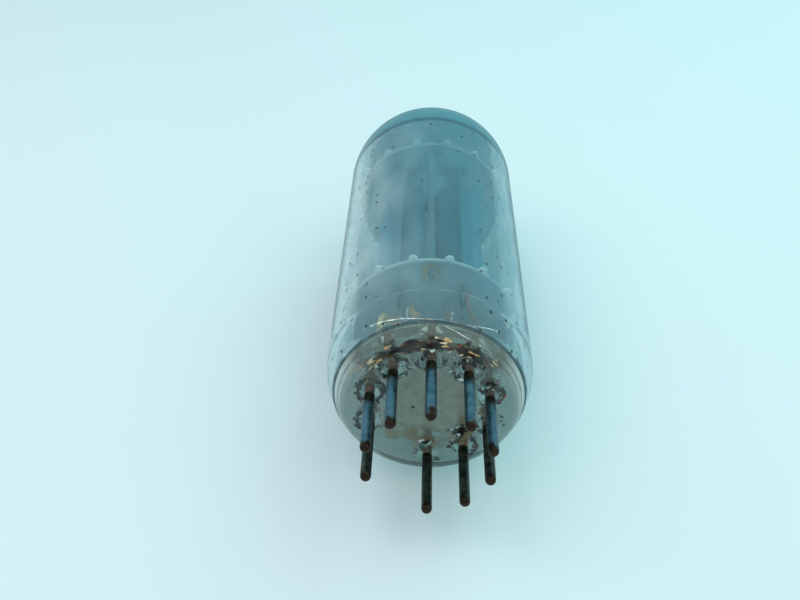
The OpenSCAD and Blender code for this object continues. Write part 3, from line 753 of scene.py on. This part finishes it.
def crumple_beads(shell, from_pin, near, far, depth):
    """Marks a broken ring of glass round each pin for its material, and crumples it there as the press left
    it. The beads get a mark of their own."""
    soft = (far - near) / 3
    shares = [0.0] * len(shell.data.vertices)
    beads = [0.0] * len(shell.data.vertices)
    for index, distance in from_pin.items():
        ring = max(0.0, min(1.0, (distance - near) / soft, (far - distance) / soft))
        cloud = noise.noise(shell.data.vertices[index].co / (1.3 * MM))
        shares[index] = ring * max(0.0, min(1.0, 0.55 + 1.6 * cloud))
        beads[index] = max(0.0, min(1.0, (BEAD_R - distance) / soft))
    for name, values in (("near_pin", shares), ("on_bead", beads)):
        shell.data.attributes.new(name, "FLOAT", "POINT").data.foreach_set("value", values)
    group = shell.vertex_groups.new(name="near_bead")
    for index in from_pin:
        group.add([index], shares[index], "REPLACE")
    marks = bpy.data.textures.new(shell.name + "_press_marks", "CLOUDS")
    marks.noise_scale = 0.45 * MM
    marks.noise_depth = 1
    select_only(shell)
    bpy.ops.object.modifier_add(type="DISPLACE")
    crumple = shell.modifiers[-1]
    crumple.texture = marks
    crumple.texture_coords = "LOCAL"
    crumple.direction = "Y"
    crumple.vertex_group = group.name
    crumple.strength = depth * MM
    bpy.ops.object.modifier_apply(modifier=crumple.name)


def blown_outside():
    """The glass's outside: bulb glass down to the seal, and stem glass below it."""
    outside = turned_shell("glass_envelope", outer_section())
    from_pin = pin_distances(outside, FLAT_Z)
    raise_beads(outside, from_pin, -FLAT_Z, PIN_R)
    crumple_beads(outside, from_pin, near=0.7, far=1.75, depth=0.3)
    outside.data.materials.append(dusty_lime_glass())
    outside.data.materials.append(pressed_stem_glass())
    for face in outside.data.polygons:
        if face.center.y / MM < SEAT_Y + SEAL_Z:
            face.material_index = 1
    return outside


def blown_cavity():
    """The glass's inside, with its faces towards the hollow."""
    inside = turned_shell("cavity", inner_section())
    from_pin = pin_distances(inside, STEM_TOP)
    raise_beads(inside, from_pin, BEAD_H, SEAL_R)
    crumple_beads(inside, from_pin, near=0.7, far=1.8, depth=0.5)
    select_only(inside)
    bpy.ops.object.mode_set(mode="EDIT")
    bpy.ops.mesh.select_all(action="SELECT")
    bpy.ops.mesh.flip_normals()
    bpy.ops.object.mode_set(mode="OBJECT")
    inside.data.materials.append(fogged_inner_glass())
    return inside


def blown_envelope():
    """Bulb and pressed base, fused into one glass body with a closed cavity inside."""
    envelope = blown_outside()
    cavity = blown_cavity()
    select_only(envelope)
    cavity.select_set(True)
    bpy.ops.object.join()
    select_only(envelope)
    bpy.ops.object.shade_smooth()
    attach(envelope, "root")
    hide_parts("bulb", "stem")


# Materials of the CAD nodes

def dress(names, material):
    """Gives CAD nodes a new material in place of their own."""
    for name in names:
        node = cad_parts[name]
        node.data.materials.clear()
        node.data.materials.append(material)
        for face in node.data.polygons:
            face.material_index = 0


def dress_nodes():
    dress([f"pin_{n}" for n in TUBE_PINS], oxidised_hard_wire())
    copper = copper_clad_wire()
    dress([f"lead_{n}" for n in TUBE_PINS], copper)
    dress([f"grid_rod_{s}_{p}" for s in SIDES for p in ("front", "back")], copper)
    nickel = dull_nickel()
    dress(["getter_ring"], nickel)
    dress([f"grid_winding_{s}" for s in SIDES], nickel)
    dress(["mica_lower"], punched_mica("punched_mica", "#8FA3AE", "#A2B4BC", 0.2, 0.38))
    dress(["mica_upper"], punched_mica("clear_punched_mica", "#7C9CA6", "#8FADB5", 0.55, 0.75))
    dress(["eyelet_lower", "eyelet_upper"], rivet_brass())
    # The anode halves are lit and shaded copies of one carbonised coat: lightest on the left outer half,
    # dimmer on the left inner half, darker and bluer on the right outer half, and a painted shadow, near
    # black, on the right inner half. The getter post's colours are its own.
    for name, material, dark, light in (
            ("anode_outer_left", "carbonised_nickel", "#7AA3B5", "#88AEBE"),
            ("anode_inner_left", "dimmed_carbonised_nickel", "#587E92", "#6B8BA0"),
            ("anode_inner_right", "shadowed_carbonised_nickel", "#003442", "#05434F"),
            ("anode_outer_right", "bluer_shaded_carbonised_nickel", "#4D8CA5", "#5F98AE"),
            ("getter_post", "fired_nickel", "#54717F", "#607E8C")):
        dress([name], carbonised_nickel(material, dark, light))
    dress([f"{n}_{s}" for n in ("cathode", "heater") for s in SIDES], sprayed_oxide())


# The stage

def pale_floor():
    """Matt pale table top with a faint cool tint."""
    material = start_material("pale_table")[0]
    top = add(material, "BsdfPrincipled", {
        "Base Color": rgb("#E6F0F2"), "Roughness": 0.6, "Specular IOR Level": 0.3})
    add(material, "OutputMaterial", [top])
    return material


def lay_floor():
    """A table top that reaches three metres from the tube to each side."""
    bpy.ops.object.select_all(action="DESELECT")
    bpy.ops.mesh.primitive_plane_add(size=6)
    floor = bpy.context.active_object
    floor.name = "table_top"
    floor.data.materials.append(pale_floor())


def soft_lamp(name, spot, size, power, code):
    """A soft box that faces the tube and lights it without showing in the gloss."""
    bpy.ops.object.light_add(type="AREA", location=Vector(spot) * MM)
    lamp = bpy.context.active_object
    lamp.name = name
    lamp.data.shape = "RECTANGLE"
    lamp.data.size, lamp.data.size_y = (side * MM for side in size)
    lamp.data.energy = power
    lamp.data.color = rgb(code)[:3]
    lamp.rotation_euler = (Vector((0, 0, AXIS_Z)) - Vector(spot)).to_track_quat("-Z", "Y").to_euler()
    lamp.visible_glossy = False
    lamp.visible_transmission = False
    return lamp


def strip_lamp(name, x, y, length, turn):
    """A thin level tube lamp above the table, which draws the white lines in the gloss of the heel."""
    strip_z = 270
    strip_w = 4
    watts_per_mm = 0.00025
    strip = soft_lamp(name, (x, y, strip_z), (length, strip_w), watts_per_mm * length, "#FFFFFF")
    strip.rotation_euler = (0, 0, math.radians(turn))
    strip.visible_glossy = True


def light_scene():
    soft_lamp("window", (170, 150, 240), (220, 220), 0.34, "#86F2E6")
    soft_lamp("ceiling", (-180, -60, 300), (260, 260), 0.28, "#FFF4F8")
    strip_lamp("long_strip", 0, SEAT_Y - 14, 1500, -18.5)
    strip_lamp("side_strip", 400, SEAT_Y + 100, 560, 25)


def colour_room():
    """The world glows softly, and shows as one plain backdrop to the camera, in gloss and through glass."""
    world = bpy.data.worlds.new("room")
    bpy.context.scene.world = world
    world.use_nodes = True
    world.node_tree.nodes.clear()
    facing = add(world, "TexCoord", out="Generated")
    rise = add(world, "SeparateXYZ", [facing], out="Z")
    share = add(world, "MapRange", [rise, 0.0, 0.6])
    sky = add(world, "Mix", {FACTOR: share, A: rgb("#B4C6CC"), B: rgb("#D4EAF2")}, **COLOUR_MIX)
    glow = add(world, "Background", [sky, 0.7])
    backdrop = add(world, "Background", [rgb("#A9C8D0"), 1.0])
    seen = add(world, "LightPath", out="Is Camera Ray")
    for way in ("Is Glossy Ray", "Is Transmission Ray"):
        seen = add(world, "Math", [seen, add(world, "LightPath", out=way)], operation="MAXIMUM")
    add(world, "OutputWorld", [add(world, "MixShader", [seen, glow, backdrop])])


def set_camera():
    """The photograph's view: from above the pins, close to the tube."""
    bpy.ops.object.camera_add(location=Vector((-0.79, SEAT_Y - 65.8, AXIS_Z + 62.3)) * MM)
    camera = bpy.context.active_object
    camera.data.lens = 42.66
    camera.data.sensor_width = 36
    camera.data.clip_start = 0.005
    ahead = Vector((-0.024, 0.801, -0.598)).normalized()
    right = ahead.cross(Vector((-0.018, 0.598, 0.801))).normalized()
    up = right.cross(ahead)
    camera.rotation_euler = Matrix((right, up, -ahead)).transposed().to_euler()
    bpy.context.scene.camera = camera


blown_envelope()
dress_nodes()
lay_floor()
light_scene()
colour_room()
set_camera()
bpy.context.scene.view_settings.view_transform = "Standard"
